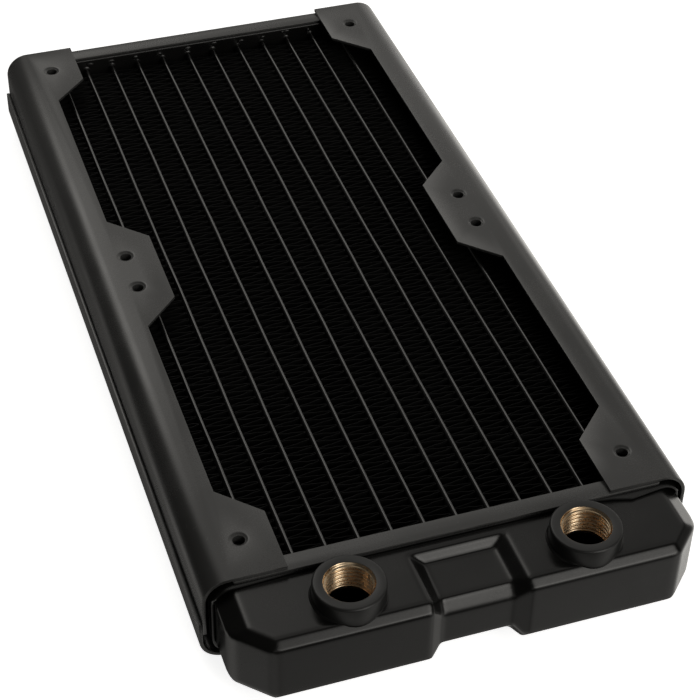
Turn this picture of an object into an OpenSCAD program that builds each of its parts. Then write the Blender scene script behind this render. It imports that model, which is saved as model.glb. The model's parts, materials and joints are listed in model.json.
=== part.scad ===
// Liquid cooling radiator for two 120 mm fans side by side.
// A tube and fin core stands between two headers. A deep tank with both ports closes the near end,
// a shallow return tank closes the far end, and folded sheet channels clasp the sides. Each side has
// an upper channel and a lower one, whose wall laps over the upper one's from outside.
// Origin: centre of the overall box, on the underside of the channels.
// +Y runs from the port end to the far end, +Z points up through the ports.

/* [Fan pattern] */
// Distance between the screw holes of one fan
fan_pitch = 105; // [104:0.5:106]
// Distance between the hole rows of neighbouring fans
fan_gap = 15; // [14:0.5:18]
// Diameter of a fan screw hole
screw_d = 3.2; // [2.6:0.1:3.6]
// Diameter of the countersunk rim round a fan screw hole
screw_rim_d = 4.4; // [4.2:0.1:5]

/* [Side channels] */
// Width over both upper channels
housing_w = 131.4; // [131:0.2:134]
// Height of the channels
housing_h = 27.4; // [27:0.2:29]
// Sheet thickness
sheet = 1.0; // [0.8:0.1:1.2]
// Height of the ledge where the wall of a lower channel ends
lap_z = 13.4; // [12:0.2:15]
// How far the walls of the upper and lower channels lie over each other
lap_l = 4; // [3:0.5:5]
// Outer radius of the folded edges
bend_r = 7; // [6:0.5:8]
// From the outermost hole row to the end of a channel
end_margin = 12.5; // [11:0.5:14]
// Half the clear width between opposite mounting tabs
tab_x = 43.5; // [42:0.5:45]
// Half the clear width between the narrow parts of the flanges
rail_x = 54; // [53:0.5:55]
// Length of a corner tab
corner_tab = 20; // [18:0.5:22]

/* [Core] */
// Number of flat tubes, half of them for each direction of flow
tube_count = 12; // [10:2:12]
// Distance from tube to tube
tube_pitch = 8.86; // [8.2:0.02:8.9]
// Thickness of a flat tube
tube_t = 1.6; // [1.4:0.1:2]
// Wall of a flat tube
tube_wall = 0.3; // [0.2:0.05:0.4]
// Height of the core
core_h = 17.6; // [16:0.2:18]
// Length of one full fold of the fin strip
fin_fold = 4; // [3:0.2:6]
// Thickness of the fin strip
fin_t = 0.2; // [0.15:0.05:0.3]

/* [Tanks] */
// Width of both tanks
tank_w = 125.2; // [124:0.2:126]
// How far the tank tops lie under the channel tops
tank_drop = 2.7; // [2.5:0.1:3]
// How far the near tank stands out past the channels
near_out = 21.8; // [21:0.2:24]
// How far the far tank stands out past the channels
far_out = 2.2; // [2:0.1:4]
// Wall of the pressed tank shells
tank_wall = 1.2; // [1:0.1:1.4]
// Half the width of the flat floor of the waist between the ports
waist_x = 9.6; // [9:0.2:11]

/* [Ports] */
// Distance between the two port axes
port_spacing = 62.8; // [60:0.2:64]
// From the front of the tank to the port axes
port_back = 10.4; // [10.2:0.2:11]
// Outer diameter of a port collar
collar_d = 18.6; // [18:0.2:19]
// How far the collars stand above the channel tops
collar_up = 2.2; // [1.5:0.1:2.5]
// Core diameter of the G1/4 pipe thread
thread_minor_d = 11.445; // [11.4:0.005:11.9]

/* [Hidden] */
$fn = 64;
eps = 0.5;

// Colours of the finishes
powder_black = [0.17, 0.17, 0.17];
paint_black = [0.13, 0.13, 0.13];
tube_grey = [0.55, 0.55, 0.53];
fin_black = [0.06, 0.06, 0.06];
brass = [0.80, 0.62, 0.32];

// Places along the length
channel_l = 2 * fan_pitch + fan_gap + 2 * end_margin;
total_l = near_out + channel_l + far_out;
front_y = -total_l / 2;
back_y = total_l / 2;
near_y = front_y + near_out;
far_y = back_y - far_out;
hole_ys = [for (k = [0, 1, 2, 3]) near_y + end_margin
           + floor(k / 2) * (fan_pitch + fan_gap) + (k % 2) * fan_pitch];
bay_ys = [hole_ys[0] + fan_pitch / 2, hole_ys[2] + fan_pitch / 2];

// Places across the height
mid_z = housing_h / 2;
tank_h = housing_h - 2 * tank_drop;

// Drawn screw collars: length below the sheet, overlap with the sheet, and wall
drawn_l = 1.2;
drawn_root = 0.2;
drawn_wall = 0.4;

// Headers: shallow trays inside the channel ends, whose rims close round the open ends of the tanks
plate_t = 1.2;
rim_t = 0.8;
rim_l = 3.2;
rim_gap = 0.1;
header_r = 5;
header_x = tank_w / 2 + rim_gap + rim_t;
header_z = tank_h / 2 + rim_gap + rim_t;
header_near_y = near_y + 1.4;
header_far_y = far_y - 5.7;
tube_proud = 1;
tube_y0 = header_near_y - tube_proud;
tube_y1 = header_far_y + tube_proud;
core_gap = 0.4;
core_y0 = header_near_y + plate_t + core_gap;
core_y1 = header_far_y - plate_t - core_gap;

// Cross bars that frame the ends of the core, just under the channel flanges
bar_w = 5.2;
bar_t = 0.8;
bar_z = housing_h - sheet - bar_t;
bar_x = housing_w / 2 - bend_r - 1;
bar_near_y = near_y - 0.4;
bar_far_y = far_y - 6.2;

// Outlines of the tanks: [how far a corner is cut back, radius of the curve into the side]
tank_x = tank_w / 2;
near_corner = [9, 7];
far_corner = [5, 3];
near_depth = header_near_y - front_y;
far_depth = back_y - header_far_y;
// Bevels as [distance back from the edge, height]
top_bevel = [2.4, 2.1];
under_bevel = [2.6, 3.3];
side_bevel = [4.8, 3.3];
// Radius of the upright edge between a cut corner and the closed end
front_r = 4;
// The waist is pressed in from above, from below and at the closed end: width of its shoulders,
// depth, bevel and how much deeper that lies, back edge with its slope, and depth at the closed end
waist_slope = 3.6;
waist_deep = 2.6;
waist_bevel = [2.6, 3.4];
waist_edge = 4.2;
waist_back = 18.7;
waist_back_run = 2;
waist_front_in = 2.1;
divider_t = 1.2;

// Port collars: spigot in the tank wall, and the wide mouth above the thread
spigot_d = 15.6;
spigot_l = 4;
mouth_d = 13.4;
mouth_l = (mouth_d - thread_minor_d) / 2;
port_y = front_y + port_back;
collar_top = housing_h + collar_up;
collar_foot = housing_h - tank_drop;

// Core: side plates against the outermost fins, and the folds of the fin strips
core_side_t = 0.8;
core_side_x = tube_count / 2 * tube_pitch + (tube_pitch - tube_t) / 2;
fin_w = tube_pitch - tube_t;
fin_inset = 0.4;
fin_crest = fin_fold / 10;

function two(i) = str(i < 10 ? "0" : "", i);
function tube_cx(i) = (i - (tube_count + 1) / 2) * tube_pitch;
function fin_cx(i) = (i - (tube_count + 2) / 2) * tube_pitch;
function arc(c, r, a0, a1, n) =
    [for (k = [0:n]) let (a = a0 + (a1 - a0) * k / n) [c[0] + r * cos(a), c[1] + r * sin(a)]];
function back(points) = [for (k = [len(points) - 1:-1:0]) points[k]];
function both_sides(points) = concat(points, [for (p = back(points)) [-p[0], p[1]]]);

// Extrudes an XZ outline along Y, from y0 to y1
module along_y(y0, y1) {
    translate([0, y1, 0]) rotate([90, 0, 0]) linear_extrude(y1 - y0) children();
}

// Extrudes a YZ outline along X, from -half to half
module along_x(half) {
    translate([-half, 0, 0]) rotate([90, 0, 90]) linear_extrude(2 * half) children();
}

// ---- Side channels ----

// Area enclosed by a side's section, shrunk by inset on the closed sides, open towards the core; out
// is how far its wall stands outside the upper channels
module channel_area(inset, out) {
    r = bend_r - inset;
    x1 = housing_w / 2 + out;
    x0 = tab_x - (inset > 0 ? eps : 0);
    translate([x0, inset]) square([x1 - bend_r - x0, housing_h - 2 * inset]);
    translate([x0, bend_r]) square([x1 - inset - x0, housing_h - 2 * bend_r]);
    for (z = [bend_r, housing_h - bend_r]) translate([x1 - bend_r, z]) circle(r);
}

// Opening left in the flanges in front of one fan, between two mounting tabs
module fan_window() {
    half = fan_pitch / 2 + end_margin - corner_tab;
    slope = rail_x - tab_x;
    polygon([[tab_x - eps, -half - eps], [rail_x, -half + slope],
             [rail_x, half - slope], [tab_x - eps, half + eps]]);
}

module screw_hole() {
    sink = (screw_rim_d - screw_d) / 2;
    translate([0, 0, -eps]) cylinder(d = screw_d, h = housing_h + 2 * eps);
    translate([0, 0, housing_h - sink]) cylinder(d1 = screw_d, d2 = screw_rim_d, h = sink);
    cylinder(d1 = screw_rim_d, d2 = screw_d, h = sink);
}

// Collars drawn inwards from both flanges, which give the screw threads their length
module screw_collars() {
    d = screw_rim_d + 2 * drawn_wall;
    l = drawn_l + drawn_root;
    for (z = [sheet - drawn_root, housing_h - sheet - drawn_l])
        translate([0, 0, z]) cylinder(d = d, h = l);
}

// Upper or lower channel of one side; side is -1 left, 1 right
module channel(side, lower) {
    out = lower ? sheet : 0;
    color(powder_black) mirror([side < 0 ? 1 : 0, 0, 0]) difference() {
        union() {
            along_y(near_y, far_y) difference() {
                channel_area(0, out);
                channel_area(sheet, out);
            }
            for (y = hole_ys) translate([fan_pitch / 2, y, 0]) screw_collars();
        }
        for (y = bay_ys) translate([0, y, -eps]) linear_extrude(housing_h + 2 * eps) fan_window();
        for (y = hole_ys) translate([fan_pitch / 2, y, 0]) screw_hole();
        translate([0, near_y - eps, lower ? lap_z : -eps])
            cube([housing_w, channel_l + 2 * eps, lower ? housing_h : lap_z - lap_l + eps]);
    }
}

// ---- Core ----

// Round-nosed section of a flat tube
module flat_oval(t, h) {
    square([t, h - t], center = true);
    for (s = [-1, 1]) translate([0, s * (h - t) / 2]) circle(d = t);
}

module tube(i) {
    color(tube_grey) translate([tube_cx(i), 0, mid_z]) along_y(tube_y0, tube_y1) difference() {
        flat_oval(tube_t, core_h);
        flat_oval(tube_t - 2 * tube_wall, core_h - 2 * tube_wall);
    }
}

// One edge of the folded fin strip, whose crests lie flat on the tubes; side is -1 left, 1 right
function fin_edge(folds, side) = [for (k = [0:folds], p = [-1, 1])
    let (crest_side = k % 2 == 0 ? -1 : 1, outer = crest_side == side)
    [crest_side * (fin_w / 2 - (outer ? 0 : fin_t)),
     k * fin_fold / 2 + p * (fin_crest + (outer ? 1 : -1) * fin_t / 2)]];

module fin_strip(i) {
    folds = floor(2 * (core_y1 - core_y0) / fin_fold) - 1;
    y0 = (core_y0 + core_y1) / 2 - folds * fin_fold / 4;
    color(fin_black) translate([fin_cx(i), y0, mid_z - core_h / 2 + fin_inset])
        linear_extrude(core_h - 2 * fin_inset)
        polygon(concat(fin_edge(folds, 1), back(fin_edge(folds, -1))));
}

module core_side(side) {
    color(paint_black) mirror([side < 0 ? 1 : 0, 0, 0])
        translate([core_side_x, core_y0, mid_z - core_h / 2])
        cube([core_side_t, core_y1 - core_y0, core_h]);
}

module end_bar(y, top) {
    z = top ? bar_z : housing_h - bar_z - bar_t;
    color(powder_black) translate([-bar_x, y, z]) cube([2 * bar_x, bar_w, bar_t]);
}

// ---- Headers ----

// Rectangle with rounded corners, reduced by inset all round
module header_outline(inset) {
    x = header_x - inset;
    z = header_z - inset;
    r = header_r - inset;
    square([2 * x, 2 * (z - r)], center = true);
    square([2 * (x - r), 2 * z], center = true);
    for (sx = [-1, 1], sz = [-1, 1]) translate([sx * (x - r), sz * (z - r)]) circle(r);
}

// Tray with a slot for every tube and its rim towards the tank; out is -1 near, 1 far
module header(y, out) {
    color(paint_black) translate([0, y, mid_z]) mirror([0, out > 0 ? 1 : 0, 0]) difference() {
        along_y(-rim_l, plate_t) header_outline(0);
        along_y(-rim_l - eps, 0) header_outline(rim_t);
        for (i = [1:tube_count]) translate([tube_cx(i), 0, 0])
            along_y(-eps, plate_t + eps) flat_oval(tube_t, core_h);
    }
}

// ---- Tanks ----

// Plan of a tank whose closed end is at y = 0 and whose open end is at y = depth
module tank_plan(inset, depth, corner) {
    x = tank_x - inset;
    cut = corner[0] - inset * (2 - sqrt(2));
    r = corner[1];
    polygon(both_sides(concat(
        arc([x - cut - front_r * tan(22.5), inset + front_r], front_r, -90, -45, 4),
        arc([x - r, inset + cut + r * tan(22.5)], r, -45, 0, 6),
        [[x, depth]])));
}

// Height against depth: bevels along the top and bottom edges of the closed end
module tank_profile(inset, depth) {
    h = tank_h / 2 - inset;
    polygon([[inset, -h + under_bevel[1]], [inset + under_bevel[0], -h], [depth, -h],
             [depth, h], [inset + top_bevel[0], h], [inset, h - top_bevel[1]]]);
}

// Height against width: bevels along the sides
module tank_front(inset) {
    x = tank_x - inset;
    h = tank_h / 2 - inset;
    polygon(both_sides([[x - side_bevel[0], -h], [x, -h + side_bevel[1]],
                        [x, h - side_bevel[1]], [x - side_bevel[0], h]]));
}

// Half space behind one cut corner, with the same bevels along its top and bottom; s is the side
module cut_corner(inset, corner, s) {
    reach = 2 * tank_w;
    translate([s * (tank_x - corner[0]), 0, 0]) rotate([0, 0, s * 45])
        along_x(reach) tank_profile(inset, reach);
}

// Solid block with bevelled edges and cut corners, closed end at y = 0
module tank_block(inset, depth, corner) {
    intersection() {
        translate([0, 0, inset - tank_h / 2]) linear_extrude(tank_h - 2 * inset)
            tank_plan(inset, depth, corner);
        along_x(tank_x) tank_profile(inset, depth);
        along_y(0, depth) tank_front(inset);
        cut_corner(inset, corner, 1);
        cut_corner(inset, corner, -1);
    }
}

// Wedge pressed into one face of the waist: its floor passes through at = [y, z], outwards points
// the way that angle turns from Y towards Z, and the shoulders widen over deep; grow is the wall
module pressed(angle, at, deep, grow) {
    x = waist_x + grow / 3;
    translate([0, at[0], at[1]]) rotate([angle, 0, 0]) linear_extrude(2 * tank_h, center = true)
        polygon(both_sides([[x, 0], [x + waist_slope, deep], [x + waist_slope, 2 * deep + grow]]));
}

// Material pressed in at the waist, above, below and in front; grow is the wall for the inside
module waist_cut(grow) {
    h = tank_h / 2;
    top = h - waist_deep - grow;
    front = waist_front_in + grow;
    pressed(180, [front, 0], waist_front_in, grow);
    for (s = [0, 1]) mirror([0, 0, s]) {
        intersection() {
            pressed(90, [front, top], waist_deep, grow);
            along_x(tank_x) polygon([[-eps, top - eps], [-eps, h + eps], [waist_back + grow, h + eps],
                [waist_back + grow, h], [waist_back + grow - waist_back_run, top],
                [waist_back + grow - waist_back_run, top - eps]]);
        }
        pressed(atan2(waist_bevel[0], -waist_bevel[1]), [front + waist_bevel[0], top],
            waist_edge, grow);
    }
}

// Outside (inset 0) or inside (inset = wall) of the near tank, with the waist
module near_body(inset, depth) {
    difference() {
        tank_block(inset, depth, near_corner);
        waist_cut(inset);
    }
}

module tank_near() {
    color(paint_black) translate([0, front_y, mid_z]) difference() {
        near_body(0, near_depth);
        near_body(tank_wall, near_depth + eps);
        for (s = [-1, 1]) translate([s * port_spacing / 2, port_back, 0])
            cylinder(d = spigot_d, h = tank_h);
    }
}

module tank_far() {
    color(paint_black) translate([0, back_y, mid_z]) rotate([0, 0, 180]) difference() {
        tank_block(0, far_depth, far_corner);
        tank_block(tank_wall, far_depth + eps, far_corner);
    }
}

// Wall in the middle of the near tank that sends the coolant down one half and back up the other
module flow_divider() {
    color(paint_black) translate([0, front_y, mid_z]) intersection() {
        near_body(tank_wall, near_depth);
        translate([-divider_t / 2, 0, -tank_h]) cube([divider_t, near_depth, 2 * tank_h]);
    }
}

// Threaded collar: a spigot in the tank's hole, and a foot that follows the bevel under it
module port_collar(side) {
    color(brass) difference() {
        union() {
            translate([side * port_spacing / 2, port_y, collar_foot])
                cylinder(d = collar_d, h = collar_top - collar_foot);
            difference() {
                translate([side * port_spacing / 2, port_y, collar_foot - top_bevel[1]])
                    cylinder(d = collar_d, h = top_bevel[1]);
                translate([0, front_y, mid_z]) tank_block(0, near_depth, near_corner);
            }
            translate([side * port_spacing / 2, port_y, collar_foot - spigot_l])
                cylinder(d = spigot_d, h = spigot_l);
        }
        translate([side * port_spacing / 2, port_y, collar_foot - spigot_l - eps])
            cylinder(d = thread_minor_d, h = collar_top - collar_foot + spigot_l + 2 * eps);
        translate([side * port_spacing / 2, port_y, collar_top - mouth_l])
            cylinder(d1 = thread_minor_d, d2 = mouth_d, h = mouth_l);
    }
}

channel(-1, false);  // channel_left_upper
channel(-1, true);  // channel_left_lower
channel(1, false);  // channel_right_upper
channel(1, true);  // channel_right_lower
header(header_near_y, -1);  // header_near
header(header_far_y, 1);  // header_far
tank_near();
tank_far();
flow_divider();
port_collar(-1);  // port_collar_left
port_collar(1);  // port_collar_right
core_side(-1);  // core_side_left
core_side(1);  // core_side_right
end_bar(bar_near_y, true);  // end_bar_near_top
end_bar(bar_near_y, false);  // end_bar_near_bottom
end_bar(bar_far_y, true);  // end_bar_far_top
end_bar(bar_far_y, false);  // end_bar_far_bottom
for (i = [1:tube_count]) {
    tube(i);
}
for (i = [1:tube_count + 1]) {
    fin_strip(i);
}
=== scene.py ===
"""Looks of a liquid cooling radiator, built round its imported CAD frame.

Lengths are in millimetres until a mesh is made, and metres after that. +X is to the right, +Y runs
from the port end to the far end, +Z is up.
"""

import json
import math

import bmesh
import bpy
import numpy as np
from mathutils import Matrix, Vector
from mathutils.bvhtree import BVHTree
from mathutils.geometry import delaunay_2d_cdt


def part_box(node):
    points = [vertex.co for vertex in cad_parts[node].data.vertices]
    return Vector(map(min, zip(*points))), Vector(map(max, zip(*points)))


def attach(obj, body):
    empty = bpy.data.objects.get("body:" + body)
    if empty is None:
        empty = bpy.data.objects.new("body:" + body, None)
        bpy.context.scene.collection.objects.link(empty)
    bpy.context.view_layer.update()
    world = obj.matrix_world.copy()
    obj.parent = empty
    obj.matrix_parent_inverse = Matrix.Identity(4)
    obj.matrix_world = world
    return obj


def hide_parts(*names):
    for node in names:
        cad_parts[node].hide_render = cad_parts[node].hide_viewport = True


MM = 0.001

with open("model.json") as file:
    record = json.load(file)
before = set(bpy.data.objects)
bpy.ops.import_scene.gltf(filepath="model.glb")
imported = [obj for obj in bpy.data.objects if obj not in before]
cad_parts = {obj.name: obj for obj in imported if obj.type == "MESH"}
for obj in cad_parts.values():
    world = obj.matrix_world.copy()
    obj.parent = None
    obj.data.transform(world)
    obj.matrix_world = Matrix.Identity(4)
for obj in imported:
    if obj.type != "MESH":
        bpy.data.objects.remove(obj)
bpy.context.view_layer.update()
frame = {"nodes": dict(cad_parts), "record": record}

# ---------------------------------------------------------------- sizes taken from the frame


def box_mm(node):
    low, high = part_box(node)
    return np.array(low) / MM, np.array(high) / MM


def mount(name):
    return next(m for m in frame["record"]["mounts"] if m["name"] == name)


CHANNEL_LOW, CHANNEL_HIGH = box_mm("channel_right_upper")
LOWER_HIGH = box_mm("channel_right_lower")[1]
NEAR_Y, FAR_Y = CHANNEL_LOW[1], CHANNEL_HIGH[1]
HOUSING_X, HOUSING_H = CHANNEL_HIGH[0], CHANNEL_HIGH[2]
TAB_X = CHANNEL_LOW[0]
MID_Z = HOUSING_H / 2
TANK_HIGH = box_mm("tank_near")[1]
SCREW_R = mount("fan_near_top")["dims"]["hole_r_mm"]
SCREW_X = mount("fan_near_top")["dims"]["spacing_x_mm"] / 2
BAY_YS = [mount(name)["pos_m"][1] / MM for name in ("fan_near_top", "fan_far_top")]
HALF_PITCH = mount("fan_near_top")["dims"]["spacing_y_mm"] / 2
PORTS = {side: np.array(mount("port_" + side)["pos_m"]) / MM for side in ("left", "right")}
THREAD_R = mount("port_left")["dims"]["r_mm"]
TUBES = sorted(n for n in frame["nodes"] if n.startswith("tube_"))
FIN_STRIPS = sorted(n for n in frame["nodes"] if n.startswith("fin_strip_"))

# Sheet metal of the channels, as in the CAD model
SHEET = 1.0
LAP_GAP = 0.04
BEND_R = 7.0
RAIL_X = 54.0
TAB_L = 20.0

# G1/4 pipe thread
THREAD_PITCH = 1.337

# ---------------------------------------------------------------- mesh helpers


def make_mesh(name, verts_mm, faces, materials, face_slots=None):
    mesh = bpy.data.meshes.new(name)
    mesh.from_pydata([tuple(v) for v in np.asarray(verts_mm) * MM], [], faces)
    mesh.validate()
    obj = bpy.data.objects.new(name, mesh)
    bpy.context.scene.collection.objects.link(obj)
    for m in materials:
        mesh.materials.append(m)
    if face_slots is not None:
        mesh.polygons.foreach_set("material_index", face_slots)
    tidy = bmesh.new()
    tidy.from_mesh(mesh)
    bmesh.ops.recalc_face_normals(tidy, faces=tidy.faces)
    tidy.to_mesh(mesh)
    tidy.free()
    return obj


def shade(obj, angle_deg=38):
    """Smooth shading, with edges sharper than the angle left crisp."""
    obj.data.polygons.foreach_set("use_smooth", [True] * len(obj.data.polygons))
    obj.data.set_sharp_from_angle(angle=math.radians(angle_deg))
    return obj


def freeze(obj):
    """Applies the object's modifiers to its mesh."""
    bpy.context.view_layer.update()
    graph = bpy.context.evaluated_depsgraph_get()
    mesh = bpy.data.meshes.new_from_object(obj.evaluated_get(graph))
    obj.modifiers.clear()
    obj.data = mesh
    return obj


def piece(obj, slot, *nodes):
    """A finished piece: it rides on the one body and stands for the CAD nodes given, which are hidden."""
    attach(obj, "root")
    if nodes:
        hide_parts(*nodes)
    return obj


def round_edges(obj, width_mm, segments=2, angle_deg=50):
    """Rounds every edge sharper than the angle."""
    bevel = obj.modifiers.new("rounding", "BEVEL")
    bevel.width = width_mm * MM
    bevel.segments = segments
    bevel.limit_method = "ANGLE"
    bevel.angle_limit = math.radians(angle_deg)
    bevel.use_clamp_overlap = False
    return freeze(obj)


def smooth_step(t):
    t = np.clip(t, 0, 1)
    return t * t * (3 - 2 * t)


def lofted(loops, closed=True):
    """Vertices and faces of a skin over loops of equal length; closed joins the last loop to the first."""
    count, size = len(loops), len(loops[0])
    verts = np.concatenate(loops)
    faces = []
    for k in range(count if closed else count - 1):
        a, b = k * size, (k + 1) % count * size
        for i in range(size):
            j = (i + 1) % size
            faces.append((a + i, a + j, b + j, b + i))
    return verts, faces


def capped(loops):
    """A skin over loops, with a flat cap on the first and on the last."""
    verts, faces = lofted(loops, closed=False)
    size = len(loops[0])
    faces.append(tuple(range(size))[::-1])
    faces.append(tuple(range(len(verts) - size, len(verts))))
    return verts, faces


def circle(cx, cy, r, count):
    return [(cx + r * math.cos(2 * math.pi * k / count), cy + r * math.sin(2 * math.pi * k / count))
            for k in range(count)]


def sheet_mesh(name, outline, holes, rings, lines, place, materials):
    """A folded sheet, from its flat pattern.

    outline and holes are loops in the pattern. rings and lines are more loops and lines that the mesh
    follows. place turns pattern points into the points of the sheet's two faces.
    """
    points, edges = [], []

    def add(chain, closed):
        first = len(points)
        points.extend(Vector(p) for p in chain)
        count = len(chain)
        edges.extend((first + k, first + k + 1) for k in range(count - 1))
        if closed:
            edges.append((first + count - 1, first))

    for chain in [outline] + holes + rings:
        add(chain, True)
    for chain in lines:
        add(chain, False)
    flat, _, faces, _, _, _ = delaunay_2d_cdt(points, edges, [], 2, 1e-5)
    flat = np.array([tuple(p) for p in flat])
    faces = [tuple(f) for f in faces if inside(flat[list(f)].mean(0), outline, holes)]
    outer, inner = place(flat)
    count = len(flat)
    verts = np.concatenate([outer, inner])
    sides = [(f[i], f[(i + 1) % len(f)]) for f in faces for i in range(len(f))]
    paired = set(sides)
    rim = [(a, b) for a, b in sides if (b, a) not in paired]
    all_faces = list(faces)
    all_faces += [tuple(count + i for i in reversed(f)) for f in faces]
    all_faces += [(b, a, count + a, count + b) for a, b in rim]
    return make_mesh(name, verts, all_faces, materials)


def inside(p, outline, holes):
    return in_polygon(p, outline) and not any(in_polygon(p, h) for h in holes)


def in_polygon(p, chain):
    x, y = p
    odd = False
    for k, (x1, y1) in enumerate(chain):
        x0, y0 = chain[k - 1]
        if (y0 > y) != (y1 > y) and x < (x1 - x0) * (y - y0) / (y1 - y0) + x0:
            odd = not odd
    return odd


# ---------------------------------------------------------------- material helpers


class Tree:
    """A new material's node tree, with short ways to add what the finishes below share."""

    def __init__(self, name):
        self.material = bpy.data.materials.new(name)
        self.material.use_nodes = True
        self.tree = self.material.node_tree
        self.shader = self.tree.nodes["Principled BSDF"]
        self.coords = self.node("ShaderNodeTexCoord").outputs["Object"]

    def node(self, kind, **settings):
        n = self.tree.nodes.new(kind)
        for key, value in settings.items():
            setattr(n, key, value)
        return n

    def link(self, a, b):
        self.tree.links.new(a, b)

    def noise(self, size_mm, detail=2.0, stretch=(1, 1, 1), distortion=0.0):
        """Noise whose features are about that size, from 0 to 1."""
        mapping = self.node("ShaderNodeMapping")
        mapping.inputs["Scale"].default_value = stretch
        self.link(self.coords, mapping.inputs["Vector"])
        n = self.node("ShaderNodeTexNoise")
        n.inputs["Scale"].default_value = 1 / (size_mm * MM)
        n.inputs["Detail"].default_value = detail
        n.inputs["Distortion"].default_value = distortion
        self.link(mapping.outputs["Vector"], n.inputs["Vector"])
        return n.outputs["Fac"]

    def spread(self, value, low, high, to_low, to_high, smooth=False):
        n = self.node("ShaderNodeMapRange")
        n.interpolation_type = "SMOOTHSTEP" if smooth else "LINEAR"
        self.link(value, n.inputs["Value"])
        for key, number in (("From Min", low), ("From Max", high), ("To Min", to_low), ("To Max", to_high)):
            n.inputs[key].default_value = number
        return n.outputs["Result"]

    def math(self, operation, a, b):
        n = self.node("ShaderNodeMath", operation=operation)
        for socket, value in zip(n.inputs, (a, b)):
            if isinstance(value, (int, float)):
                socket.default_value = value
            else:
                self.link(value, socket)
        return n.outputs[0]

    def mix(self, factor, a, b):
        n = self.node("ShaderNodeMix", data_type="RGBA")
        self.link(factor, n.inputs["Factor"])
        for socket, value in ((n.inputs[6], a), (n.inputs[7], b)):
            if isinstance(value, tuple):
                socket.default_value = (*value, 1)
            else:
                self.link(value, socket)
        return n.outputs[2]

    def bump(self, height, depth_mm, normal=None):
        n = self.node("ShaderNodeBump")
        n.inputs["Distance"].default_value = depth_mm * MM
        self.link(height, n.inputs["Height"])
        if normal is not None:
            self.link(normal, n.inputs["Normal"])
        return n.outputs["Normal"]

    def edges(self, radius_mm):
        """1 on rounded outer edges and corners, 0 on flat stretches."""
        bevel = self.node("ShaderNodeBevel", samples=4)
        bevel.inputs["Radius"].default_value = radius_mm * MM
        flat = self.node("ShaderNodeNewGeometry").outputs["Normal"]
        dot = self.node("ShaderNodeVectorMath", operation="DOT_PRODUCT")
        self.link(bevel.outputs["Normal"], dot.inputs[0])
        self.link(flat, dot.inputs[1])
        return self.spread(dot.outputs["Value"], 0.995, 0.93, 0, 1)


def painted(name, dark, light, rough, peel_mm, peel_depth, edge_wear_and_highlight, specular):
    """Sprayed black finish: cloudy tint, orange peel, fine dust, and rounded edges paler in patches, partly
    worn paint and partly a painted highlight.
    """
    t = Tree(name)
    cloud = t.spread(t.noise(22, 3), 0.35, 0.68, 0, 1, smooth=True)
    colour = t.mix(cloud, dark, light)
    grain = t.noise(0.35, 2)
    dust = t.spread(t.noise(0.9, 4), 0.66, 0.74, 0, 0.35)
    colour = t.mix(dust, colour, tuple(min(1, 2.2 * c) for c in light))
    # Rounded edges turn paler in patches: partly worn paint, partly a painted highlight along the edges.
    if edge_wear_and_highlight:
        worn_and_highlit = t.math("MULTIPLY", t.edges(0.35), t.spread(t.noise(2.5, 3), 0.42, 0.62, 0.1, edge_wear_and_highlight))
        colour = t.mix(worn_and_highlit, colour, tuple(min(1, 3.2 * c) for c in light))
    t.link(colour, t.shader.inputs["Base Color"])
    roughness = t.math("ADD", t.spread(cloud, 0, 1, rough - 0.03, rough + 0.04),
                       t.spread(grain, 0.3, 0.7, -0.03, 0.04))
    t.link(roughness, t.shader.inputs["Roughness"])
    t.shader.inputs["Specular IOR Level"].default_value = specular
    peel = t.bump(t.noise(peel_mm, 1.5), peel_depth)
    waves = t.bump(t.noise(9, 1), 0.02, peel)
    t.link(waves, t.shader.inputs["Normal"])
    return t.material


def brass(name):
    """Turned brass: fine rings round the bore, small stains, a darker tarnish in patches."""
    t = Tree(name)
    stain = t.spread(t.noise(2.2, 4), 0.4, 0.7, 0, 1, smooth=True)
    colour = t.mix(stain, (0.80, 0.62, 0.42), (0.60, 0.42, 0.25))
    t.link(colour, t.shader.inputs["Base Color"])
    t.shader.inputs["Metallic"].default_value = 1.0
    t.link(t.spread(stain, 0, 1, 0.17, 0.34), t.shader.inputs["Roughness"])
    rings = t.noise(0.12, 2, stretch=(0.12, 0.12, 1))
    t.link(t.bump(rings, 0.006), t.shader.inputs["Normal"])
    return t.material


# In each finish the number before specular pales its rounded edges: partly worn paint, partly a painted
# highlight.
POWDER = painted("powder_coat", (0.034, 0.034, 0.0333), (0.041, 0.041, 0.040), rough=0.25,
                 peel_mm=0.7, peel_depth=0.006, edge_wear_and_highlight=0.5, specular=0.66)
TANK_PAINT = painted("tank_paint", (0.0038, 0.0037, 0.0035), (0.0062, 0.006, 0.0057), rough=0.21,
                     peel_mm=1.1, peel_depth=0.005, edge_wear_and_highlight=0.45, specular=0.38)
COLLAR_PAINT = painted("collar_paint", (0.013, 0.013, 0.0126), (0.017, 0.017, 0.0165), rough=0.38,
                       peel_mm=0.5, peel_depth=0.006, edge_wear_and_highlight=0.5, specular=0.42)
TUBE_PAINT = painted("tube_paint", (0.006, 0.006, 0.0058), (0.010, 0.010, 0.0097), rough=0.24,
                     peel_mm=0.6, peel_depth=0.005, edge_wear_and_highlight=0.0, specular=0.9)
FIN_PAINT = painted("fin_paint", (0.002, 0.002, 0.0019), (0.004, 0.004, 0.0039), rough=0.5,
                    peel_mm=0.4, peel_depth=0.004, edge_wear_and_highlight=0.0, specular=0.15)
HEADER_PAINT = painted("header_paint", (0.0038, 0.0037, 0.0035), (0.0062, 0.006, 0.0057), rough=0.28,
                       peel_mm=0.8, peel_depth=0.01, edge_wear_and_highlight=0.4, specular=0.45)
BRASS = brass("port_brass")

# ---------------------------------------------------------------- side channels

HALF_WALL = MID_Z - BEND_R
ARC_L = math.pi / 2 * BEND_R
BEND_STEPS = 14

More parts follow.
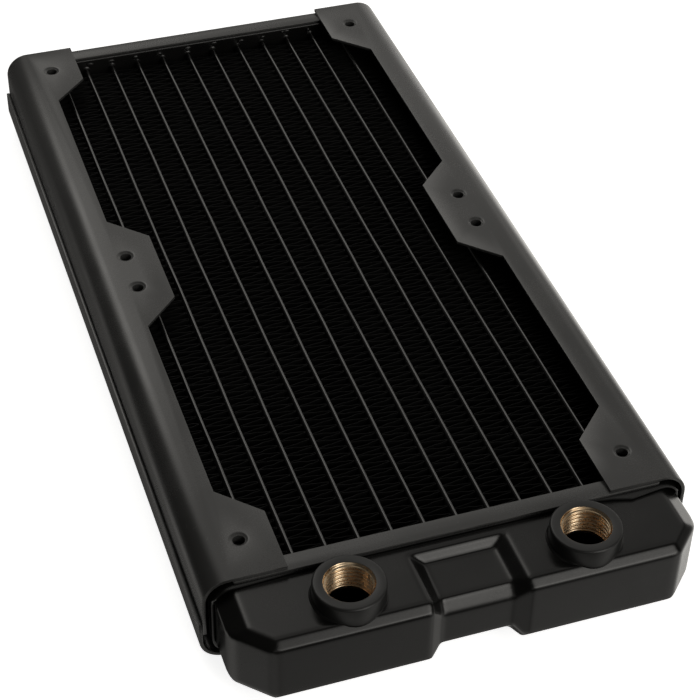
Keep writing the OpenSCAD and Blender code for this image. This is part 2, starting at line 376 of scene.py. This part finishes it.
# Each screw hole sits in a dimple and is drawn inwards as a short collar
DIMPLE_R = 2.55
DIMPLE_DEEP = 0.45
COLLAR_R = 2.1
COLLAR_FOOT_R = 2.35
COLLAR_L = 1.2
HOLE_POINTS = 36


def channel(side, lower):
    """Upper or lower sheet of a side. The wall of the lower one laps over the upper one's from outside."""
    wall_x = LOWER_HIGH[0] if lower else HOUSING_X
    half = -1 if lower else 1
    wall_end = LOWER_HIGH[2] - MID_Z if lower else CHANNEL_LOW[2] - MID_Z
    thickness = SHEET - LAP_GAP if lower else SHEET

    def pattern_s(x):
        """Where the flat flange reaches x, measured round the section from the middle of the side wall."""
        return HALF_WALL + ARC_L + (wall_x - BEND_R - x)

    screw_ys = [y + s * HALF_PITCH for y in BAY_YS for s in (-1, 1)]
    screw_s = pattern_s(SCREW_X)

    def flange_edge():
        """Inner edge of a flange from the near end to the far end, as (x, y)."""
        reach = HALF_PITCH - TAB_L + (screw_ys[0] - NEAR_Y)
        slope = RAIL_X - TAB_X
        chain = [(TAB_X, NEAR_Y)]
        for y in BAY_YS:
            chain += [(TAB_X, y - reach), (RAIL_X, y - reach + slope),
                      (RAIL_X, y + reach - slope), (TAB_X, y + reach)]
        return chain + [(TAB_X, FAR_Y)]

    edge = flange_edge()
    outline = [(half * pattern_s(x), y) for x, y in edge] + [(wall_end, FAR_Y), (wall_end, NEAR_Y)]
    centres = [(half * screw_s, y) for y in screw_ys]
    ring_radii = (SCREW_R + 0.2, COLLAR_R, COLLAR_FOOT_R, DIMPLE_R, DIMPLE_R + 0.25)
    holes = [circle(*c, SCREW_R, HOLE_POINTS) for c in centres]
    rings = [circle(*c, r, HOLE_POINTS) for c in centres for r in ring_radii]
    steps = [HALF_WALL + ARC_L * k / BEND_STEPS for k in range(BEND_STEPS + 1)] + [HALF_WALL / 2]
    lines = [[(half * s, NEAR_Y), (half * s, FAR_Y)] for s in steps]

    def place(flat):
        s, y = np.abs(flat[:, 0]), flat[:, 1]
        up = np.where(flat[:, 0] < 0, -1, 1)
        turn = np.clip((s - HALF_WALL) / ARC_L, 0, 1) * math.pi / 2
        past = np.maximum(s - HALF_WALL - ARC_L, 0)
        x = wall_x - BEND_R + BEND_R * np.cos(turn) - past
        z = np.minimum(s, HALF_WALL) + BEND_R * np.sin(turn)
        near = np.min([np.hypot(flat[:, 0] - cx, y - cy) for cx, cy in centres], axis=0)
        dimple = DIMPLE_DEEP * smooth_step((DIMPLE_R - near) / (DIMPLE_R - SCREW_R))
        drawn = COLLAR_L * smooth_step((COLLAR_FOOT_R - near) / (COLLAR_FOOT_R - COLLAR_R))
        points = []
        for depth in (dimple, thickness + dimple + drawn):
            px = x - depth * np.cos(turn)
            pz = z - depth * np.sin(turn)
            points.append(np.stack([side * px, y, MID_Z + up * pz], axis=1))
        return points

    name = f"channel_{'right' if side > 0 else 'left'}_{'lower' if lower else 'upper'}"
    obj = sheet_mesh(name + "_sheet", outline, holes, rings, lines, place, [POWDER])
    round_edges(obj, 0.16, 2, 55)
    return piece(shade(obj, 30), "powder_coat", name)


for side in (-1, 1):
    for lower in (False, True):
        channel(side, lower)

# ---------------------------------------------------------------- cross bars


def end_bar(node):
    """Flat bar with rounded edges and corners."""
    low, high = box_mm(node)
    corner = 0.8
    xs, ys = (low[0], high[0]), (low[1], high[1])
    corners = ((xs[1] - corner, ys[1] - corner, 0), (xs[0] + corner, ys[1] - corner, 90),
               (xs[0] + corner, ys[0] + corner, 180), (xs[1] - corner, ys[0] + corner, 270))
    outline = []
    for cx, cy, start in corners:
        turns = [math.radians(start + a) for a in (0, 30, 60, 90)]
        outline += [(cx + corner * math.cos(a), cy + corner * math.sin(a)) for a in turns]
    up = low[2] > MID_Z

    def place(flat):
        top = np.full(len(flat), high[2] if up else low[2])
        bottom = np.full(len(flat), low[2] if up else high[2])
        return [np.stack([flat[:, 0], flat[:, 1], z], axis=1) for z in (top, bottom)]

    obj = sheet_mesh(node + "_bar", outline, [], [], [], place, [POWDER])
    round_edges(obj, 0.15, 2, 55)
    return piece(shade(obj, 30), "powder_coat", node)


for node in sorted(n for n in frame["nodes"] if n.startswith("end_bar")):
    end_bar(node)

# ---------------------------------------------------------------- headers

HEADER_R = 5.5
RIM = 0.8
PLATE = 1.2
RIM_SHORT = 1.3


def round_rect(half_x, half_z, r, y, per_corner=7):
    """Loop round a rectangle with rounded corners, in the XZ plane about mid height."""
    loop = []
    for k, (sx, sz) in enumerate(((1, 1), (-1, 1), (-1, -1), (1, -1))):
        for i in range(per_corner):
            a = math.radians(90 * k + 90 * i / (per_corner - 1))
            loop.append((sx * (half_x - r) + r * math.cos(a), y, MID_Z + sz * (half_z - r) + r * math.sin(a)))
        following = ((-1, 1), (-1, -1), (1, -1), (1, 1))[k]
        if sx != following[0]:
            xs = np.linspace(sx * (half_x - r), following[0] * (half_x - r), 26)[1:-1]
            loop += [(x, y, MID_Z + sz * half_z) for x in xs]
    return np.array(loop)


def lip_reach(x, out):
    """How far the rim's edge stands out past its shortest stretch. The near rim got bent a little."""
    if out > 0:
        return np.zeros(len(x))
    return np.interp(x, [-60, -57, -41, 42, 47.5, 58.6, 62], [0.9, 0.8, 0, 0, 2.3, 0.8, 0.9])


def header(node, out):
    """Tray whose rim reaches towards the tank. Rows 4 to 9 of its section are the rim's edge."""
    low, high = box_mm(node)
    half_x, half_z = high[0], (high[2] - low[2]) / 2
    back, front = (high[1], low[1]) if out < 0 else (low[1], high[1])
    plate_front = back + out * PLATE
    rows = [(RIM, back), (0.3, back), (0.08, back + out * 0.1), (0, back + out * 0.35)]
    rows += [(0, front - out * 0.3), (0.08, front - out * 0.08), (0.3, front), (RIM - 0.3, front)]
    rows += [(RIM - 0.08, front - out * 0.08), (RIM, front - out * 0.3), (RIM, plate_front)]
    loops = []
    for k, (inset, y) in enumerate(rows):
        loop = round_rect(half_x - inset, half_z - inset, HEADER_R - inset, y)
        if 4 <= k <= 9:
            on_top = loop[:, 2] > MID_Z + 8
            loop[:, 1] += out * (lip_reach(loop[:, 0], out) * on_top - RIM_SHORT)
        loops.append(loop)
    verts, faces = capped(loops)
    obj = make_mesh(node + "_tray", verts, faces, [HEADER_PAINT])
    return piece(shade(obj, 50), "tank_paint", node)


header("header_near", -1)
header("header_far", 1)


def lump(centre, radii, rng):
    """Small uneven lump, as loops from one pole to the other."""
    phases = rng.uniform(0, 2 * math.pi, 3)
    loops = []
    for i in range(1, 8):
        tilt = math.pi * i / 8
        ring = []
        for k in range(12):
            a = 2 * math.pi * k / 12
            swell = 1 + 0.16 * math.sin(2 * a + phases[0]) + 0.10 * math.sin(3 * a + 4 * tilt + phases[1])
            ring.append((centre[0] + radii[0] * swell * math.sin(tilt) * math.cos(a),
                         centre[1] + radii[1] * swell * math.sin(tilt) * math.sin(a),
                         centre[2] + radii[2] * math.cos(tilt)))
        loops.append(np.array(ring))
    return capped(loops)


def solder(name, node, out):
    """Solder on the core side of a header: a thin fillet round every tube, and drips above them."""
    low, high = box_mm(node)
    face = high[1] if out < 0 else low[1]
    rng = np.random.default_rng(7 if out < 0 else 8)
    parts = []
    for tube_node in TUBES:
        t_low, t_high = box_mm(tube_node)
        cx = (t_low[0] + t_high[0]) / 2
        half_t, half_h = (t_high[0] - t_low[0]) / 2, (t_high[2] - t_low[2]) / 2
        loops = []
        for grow, proud in ((0.02, 0.75), (0.12, 0.35), (0.35, 0.12), (0.62, -0.05)):
            wet = 1 + 0.25 * math.sin(3 * cx + 2 * grow)
            r = half_t + grow * wet
            nose = [(r * math.cos(a), half_h - half_t + r * math.sin(a)) for a in np.linspace(0, math.pi, 11)]
            section = nose + [(-x, -z) for x, z in nose]
            loops.append(np.array([(cx + x, face - out * proud * wet, MID_Z + z) for x, z in section]))
        parts.append(lofted(loops, closed=False))
        for _ in range(rng.integers(1, 3)):
            at = (cx + rng.normal(0, 0.9), face, MID_Z + half_h + rng.uniform(0.9, 2.0))
            radii = (rng.uniform(0.7, 1.5), rng.uniform(0.3, 0.55), rng.uniform(0.5, 0.9))
            parts.append(lump(at, radii, rng))
    verts, faces = [], []
    for part_verts, part_faces in parts:
        faces += [tuple(i + len(verts) for i in f) for f in part_faces]
        verts += [tuple(v) for v in part_verts]
    obj = make_mesh(name, verts, faces, [HEADER_PAINT])
    return piece(shade(obj, 60), "tank_paint")


solder("solder_near", "header_near", -1)
solder("solder_far", "header_far", 1)

# ---------------------------------------------------------------- tanks


def softened(node, voxel_mm, passes, name, material, slot):
    """The CAD shell with its edges softened, as pressing, filing and paint leave them."""
    mesh = frame["nodes"][node].data.copy()
    obj = bpy.data.objects.new(name, mesh)
    bpy.context.scene.collection.objects.link(obj)
    weld = bmesh.new()
    weld.from_mesh(mesh)
    bmesh.ops.remove_doubles(weld, verts=weld.verts, dist=1e-6)
    weld.to_mesh(mesh)
    weld.free()
    remesh = obj.modifiers.new("skin", "REMESH")
    remesh.mode = "VOXEL"
    remesh.voxel_size = voxel_mm * MM
    remesh.adaptivity = 0.0
    smooth = obj.modifiers.new("soften", "SMOOTH")
    smooth.factor = 0.5
    smooth.iterations = passes
    freeze(obj)
    obj.data.materials.clear()
    obj.data.materials.append(material)
    obj.data.polygons.foreach_set("use_smooth", [True] * len(obj.data.polygons))
    return piece(obj, slot, node)


near_tank = softened("tank_near", 0.42, 12, "tank_near_shell", TANK_PAINT, "tank_paint")
softened("tank_far", 0.6, 6, "tank_far_shell", TANK_PAINT, "tank_paint")


def tree_of(obj):
    return BVHTree.FromPolygons([v.co.copy() for v in obj.data.vertices],
                                [tuple(p.vertices) for p in obj.data.polygons])


# ---------------------------------------------------------------- port collars

AROUND = 112
SEAT_R = 7.6
MOUTH_R = 6.5
THREAD_ROWS = 84


def thread_profile(phase):
    """Depth of the thread groove, 0 at the crest and 1 at the root, for a phase in turns."""
    t = np.abs((phase % 1.0) - 0.5) * 2
    return smooth_step((t - 0.12) / 0.76)


def port_collar(side):
    """Turned collar: painted outside, bare brass with a helical thread inside."""
    node = "port_collar_" + side
    low, high = box_mm(node)
    cx, cy = PORTS[side][0], PORTS[side][1]
    outer_r = (high[0] - low[0]) / 2
    top, foot = high[2], low[2]
    tank_top = TANK_HIGH[2]
    angles = np.arange(AROUND) / AROUND * 2 * math.pi

    def ring(r, z):
        r = np.broadcast_to(r, AROUND)
        z = np.broadcast_to(z, AROUND)
        return np.stack([cx + r * np.cos(angles), cy + r * np.sin(angles), z], axis=1)

    soft = 0.7
    loops = [ring(THREAD_R + 0.4, foot), ring(SEAT_R, foot)]
    loops += [ring(SEAT_R, tank_top - 1.35), ring(outer_r - 0.3, tank_top - 1.35)]
    loops += [ring(outer_r, tank_top - 1.2), ring(outer_r, tank_top), ring(outer_r, tank_top + 1.6)]
    loops += [ring(outer_r - soft + soft * math.cos(a), top - soft + soft * math.sin(a))
              for a in np.linspace(0, math.pi / 2, 6)]
    loops += [ring(8.0, top), ring(MOUTH_R + 0.22, top), ring(MOUTH_R + 0.05, top - 0.06)]
    painted_loops = len(loops)
    thread_top = top - 0.72
    loops += [ring(MOUTH_R - 0.05, top - 0.16)]
    for z in np.linspace(thread_top, foot + 0.5, THREAD_ROWS):
        fade = smooth_step((thread_top - z) / 0.5 + 0.35)
        groove = thread_profile(z / THREAD_PITCH + angles / (2 * math.pi))
        r = THREAD_R + (MOUTH_R - 0.12 - THREAD_R) * (groove * fade + (1 - fade))
        loops.append(ring(r, z))
    verts, faces = lofted(loops)
    last = len(loops) - 1
    slots = [int(painted_loops - 2 < k < last) for k in range(len(loops)) for _ in range(AROUND)]
    obj = make_mesh(node + "_turned", verts, faces, [COLLAR_PAINT, BRASS], slots)
    return piece(shade(obj, 60), "port_brass", node)


def fillet(side, phase):
    """Bead of solder round the foot of a collar, laid on the tank."""
    cx, cy = PORTS[side][0], PORTS[side][1]
    low, high = box_mm("port_collar_" + side)
    r0 = (high[0] - low[0]) / 2 - 0.05
    surface = tree_of(near_tank)
    profile = [(0.0, 0.5), (0.10, 0.40), (0.24, 0.27), (0.42, 0.15), (0.6, 0.05), (0.72, -0.08)]
    profile += [(0.4, -0.35), (0.0, -0.35)]
    angles = np.arange(AROUND) / AROUND * 2 * math.pi
    loops = []
    for reach, rise in profile:
        loop = []
        for a in angles:
            wobble = 1 + 0.12 * math.sin(3 * a + phase) + 0.06 * math.sin(7 * a + 1)
            wobble *= 1 - 0.8 * smooth_step((-math.sin(a) - 0.55) / 0.35)
            x = cx + (r0 + reach * wobble) * math.cos(a)
            y = cy + (r0 + reach * wobble) * math.sin(a)
            hit = surface.ray_cast(Vector((x, y, HOUSING_H + 5)) * MM, Vector((0, 0, -1)))[0]
            z = hit.z / MM if hit else TANK_HIGH[2]
            loop.append((x, y, max(z, TANK_HIGH[2] - 3) + rise))
        loops.append(np.array(loop))
    verts, faces = lofted(loops)
    obj = make_mesh("solder_fillet_" + side, verts, faces, [TANK_PAINT])
    return piece(shade(obj, 60), "tank_paint")


for side_name, phase in (("left", 0.4), ("right", 2.1)):
    port_collar(side_name)
    fillet(side_name, phase)

# ---------------------------------------------------------------- tubes

NOSE = 1.5


def tube(node, index):
    """Flat tube with a round nose, never quite straight."""
    low, high = box_mm(node)
    half_t = (high[0] - low[0]) / 2
    half_h = (high[2] - low[2]) / 2
    cx = (low[0] + high[0]) / 2
    nose = [(half_t * math.cos(a), half_h - NOSE + NOSE * math.sin(a)) for a in np.linspace(0, math.pi, 13)]
    section = nose + [(-x, -z) for x, z in nose]
    loops = []
    for y in np.linspace(low[1], high[1], 34):
        ease = math.sin(math.pi * (y - low[1]) / (high[1] - low[1]))
        drift = 0.10 * ease * math.sin(y / 17.0 + 1.9 * index) + 0.05 * ease * math.sin(y / 6.1 + index)
        dip = 0.06 * ease * (1 + math.sin(y / 23.0 + 2.3 * index)) / 2
        loops.append(np.array([(cx + drift + x, y, MID_Z + z - math.copysign(dip, z)) for x, z in section]))
    verts, faces = capped(loops)
    obj = make_mesh(node + "_drawn", verts, faces, [TUBE_PAINT])
    return piece(shade(obj, 50), "tube_paint", node)


for number, node in enumerate(TUBES):
    tube(node, number)

# ---------------------------------------------------------------- fin strips

FOLD = 2.9
FIN_T = 0.11
LEG_STEPS = 9


def fin_strip(node, index):
    """Folded strip: legs cross from tube to tube, wavy where the louvres are cut."""
    rng = np.random.default_rng(100 + index)
    low, high = box_mm(node)
    reach = (high[0] - low[0]) / 2 - FIN_T / 2
    cx = (low[0] + high[0]) / 2
    legs = int((high[1] - low[1]) / (FOLD / 2)) - 1
    y0 = (low[1] + high[1] - legs * FOLD / 2) / 2
    path = []
    for k in range(legs):
        direction = 1 if k % 2 == 0 else -1
        lean, wave, shift = rng.uniform(-0.10, 0.10), rng.uniform(0.07, 0.14), rng.uniform(0, 2 * math.pi)
        for step in range(LEG_STEPS):
            u = step / (LEG_STEPS - 1) * 2 - 1
            x = direction * u * reach
            ripple = wave * math.sin(5.2 * u + shift) * (1 - u * u)
            y = y0 + (k + 0.5 + 0.36 * u) * FOLD / 2 + ripple + lean * (1 - u * u)
            path.append((cx + x, y))
    path = np.array(path)
    along = np.gradient(path, axis=0)
    normal = np.stack([-along[:, 1], along[:, 0]], axis=1)
    normal /= np.linalg.norm(normal, axis=1, keepdims=True)
    left, right = path + normal * FIN_T / 2, path - normal * FIN_T / 2
    for edge in (left, right):
        edge[:, 0] = np.clip(edge[:, 0], low[0], high[0])
    top = high[2] - 0.25 - 0.2 * rng.random(len(path))
    bottom = low[2] + 0.25 + 0.2 * rng.random(len(path))
    loops = [np.array([(l[0], l[1], t), (r[0], r[1], t), (r[0], r[1], b), (l[0], l[1], b)])
             for l, r, t, b in zip(left, right, top, bottom)]
    verts, faces = capped(loops)
    obj = make_mesh(node + "_folded", verts, faces, [FIN_PAINT])
    return piece(shade(obj, 50), "core_paint", node)


for number, node in enumerate(FIN_STRIPS):
    fin_strip(node, number)

# ---------------------------------------------------------------- CAD nodes that stay

for node in ("core_side_left", "core_side_right", "flow_divider"):
    kept = frame["nodes"][node]
    kept.data.materials.clear()
    kept.data.materials.append(FIN_PAINT if node.startswith("core") else BRASS)

# ---------------------------------------------------------------- floor, light, camera


def plane(name, size, z):
    half = size / 2
    corners = [(-half, -half, z), (half, -half, z), (half, half, z), (-half, half, z)]
    mesh = bpy.data.meshes.new(name)
    mesh.from_pydata(corners, [], [(0, 1, 2, 3)])
    obj = bpy.data.objects.new(name, mesh)
    bpy.context.scene.collection.objects.link(obj)
    return obj


floor = plane("floor", 12.0, -0.0004)
floor_paint = bpy.data.materials.new("floor_paper")
floor_paint.use_nodes = True
floor_shader = floor_paint.node_tree.nodes["Principled BSDF"]
floor_shader.inputs["Base Color"].default_value = (0.93, 0.93, 0.92, 1)
floor_shader.inputs["Roughness"].default_value = 0.9
floor_shader.inputs["Specular IOR Level"].default_value = 0.1
floor_shader.inputs["Emission Color"].default_value = (1, 1, 1, 1)
floor_shader.inputs["Emission Strength"].default_value = 0.85
floor_paint.cycles.emission_sampling = "NONE"
floor.data.materials.append(floor_paint)
floor.visible_glossy = False
floor.visible_diffuse = False

# Soft lamps all round the object: azimuth clockwise from +Y, elevation, how narrow the lamp is, and
# its brightness in the middle. Most rows came from a least-squares fit to the photo's brightness, made
# by a scratch program, and some were added or changed by hand afterwards.
LAMPS = [
    (150, 28, 60, 4), (150, 8, 60, 1.9), (47.8, -9.9, 25, 1.75), (150, 46, 60, 2.2),
    (168, 28, 60, 2.5), (356, 38, 60, 1.25), (35.4, -35.3, 25, 1.35), (338, 50, 60, 1.19),
    (356, 50, 60, 1.11), (67.8, -25, 25, 1.03), (140.4, -50, 25, 0.55), (356, 26, 60, 0.86),
    (305, -28, 60, 0.4), (245.5, -72.4, 25, 0.75), (193, -59.2, 25, 0.5), (40.1, 29, 25, 0.65),
    (0, 79.9, 25, 0.53), (132.8, -6.3, 25, 0.52), (277.9, -52.8, 25, 0.51), (150, -12, 60, 0.51),
    (55.5, -55.9, 25, 0.49), (87.9, -42.2, 25, 0.47), (80.2, -0.9, 25, 0.44), (120.4, -31, 25, 0.38),
    (100.3, -15.4, 25, 0.35), (14, 26, 60, 0.35), (52.5, 63, 25, 0.34), (27.7, 4.5, 25, 0.34),
    (72.6, 39.8, 25, 0.33), (145.2, 17.3, 25, 0.3), (197.7, 11.7, 25, 0.3), (318, -13, 60, 0.3),
    (225.4, -44.7, 25, 0.24), (342.9, -29, 25, 0.05), (335.2, 9.9, 25, 0.08), (310.4, -39.8, 25, 0.22),
    (14, 50, 60, 0.4),
]
LAMP_COLOUR = (1.0, 0.975, 0.925)
AMBIENT = 0.03


def studio():
    """A world of soft lamps, each fading smoothly away from its own direction."""
    world = bpy.data.worlds.new("studio")
    bpy.context.scene.world = world
    world.use_nodes = True
    nodes, links = world.node_tree.nodes, world.node_tree.links
    towards = nodes.new("ShaderNodeTexCoord").outputs["Generated"]

    def step(operation, a, b=None):
        n = nodes.new("ShaderNodeMath")
        n.operation = operation
        links.new(a, n.inputs[0])
        if isinstance(b, float):
            n.inputs[1].default_value = b
        elif b is not None:
            links.new(b, n.inputs[1])
        return n.outputs[0]

    total = None
    for azimuth, elevation, focus, level in LAMPS:
        a, e = math.radians(azimuth), math.radians(elevation)
        near = nodes.new("ShaderNodeVectorMath")
        near.operation = "DOT_PRODUCT"
        near.inputs[1].default_value = focus * Vector(
            (math.cos(e) * math.sin(a), math.cos(e) * math.cos(a), math.sin(e)))
        links.new(towards, near.inputs[0])
        glow = step("EXPONENT", step("ADD", near.outputs["Value"], math.log(level) - focus))
        total = step("ADD", glow, AMBIENT) if total is None else step("ADD", glow, total)
    background = nodes["Background"]
    background.inputs["Color"].default_value = (*LAMP_COLOUR, 1)
    links.new(total, background.inputs["Strength"])


studio()

# The photo's viewpoint, from a pinhole camera fitted to the eight screw holes
CAMERA_AT = (-0.13707, -0.42149, 0.37437)
VIEW_BACK = (-0.2526, -0.7135, 0.6535)
VIEW_UP = (0.1956, 0.6238, 0.7567)

camera_data = bpy.data.cameras.new("camera")
camera_data.lens = 98.0
camera_data.sensor_width = 36.0
camera_data.clip_start = 0.01
camera = bpy.data.objects.new("camera", camera_data)
back = Vector(VIEW_BACK).normalized()
right = Vector(VIEW_UP).cross(back).normalized()
turned = Matrix((right, back.cross(right), back)).transposed()
camera.matrix_world = Matrix.Translation(CAMERA_AT) @ turned.to_4x4()
bpy.context.scene.collection.objects.link(camera)
bpy.context.scene.camera = camera
bpy.context.scene.view_settings.view_transform = "Standard"
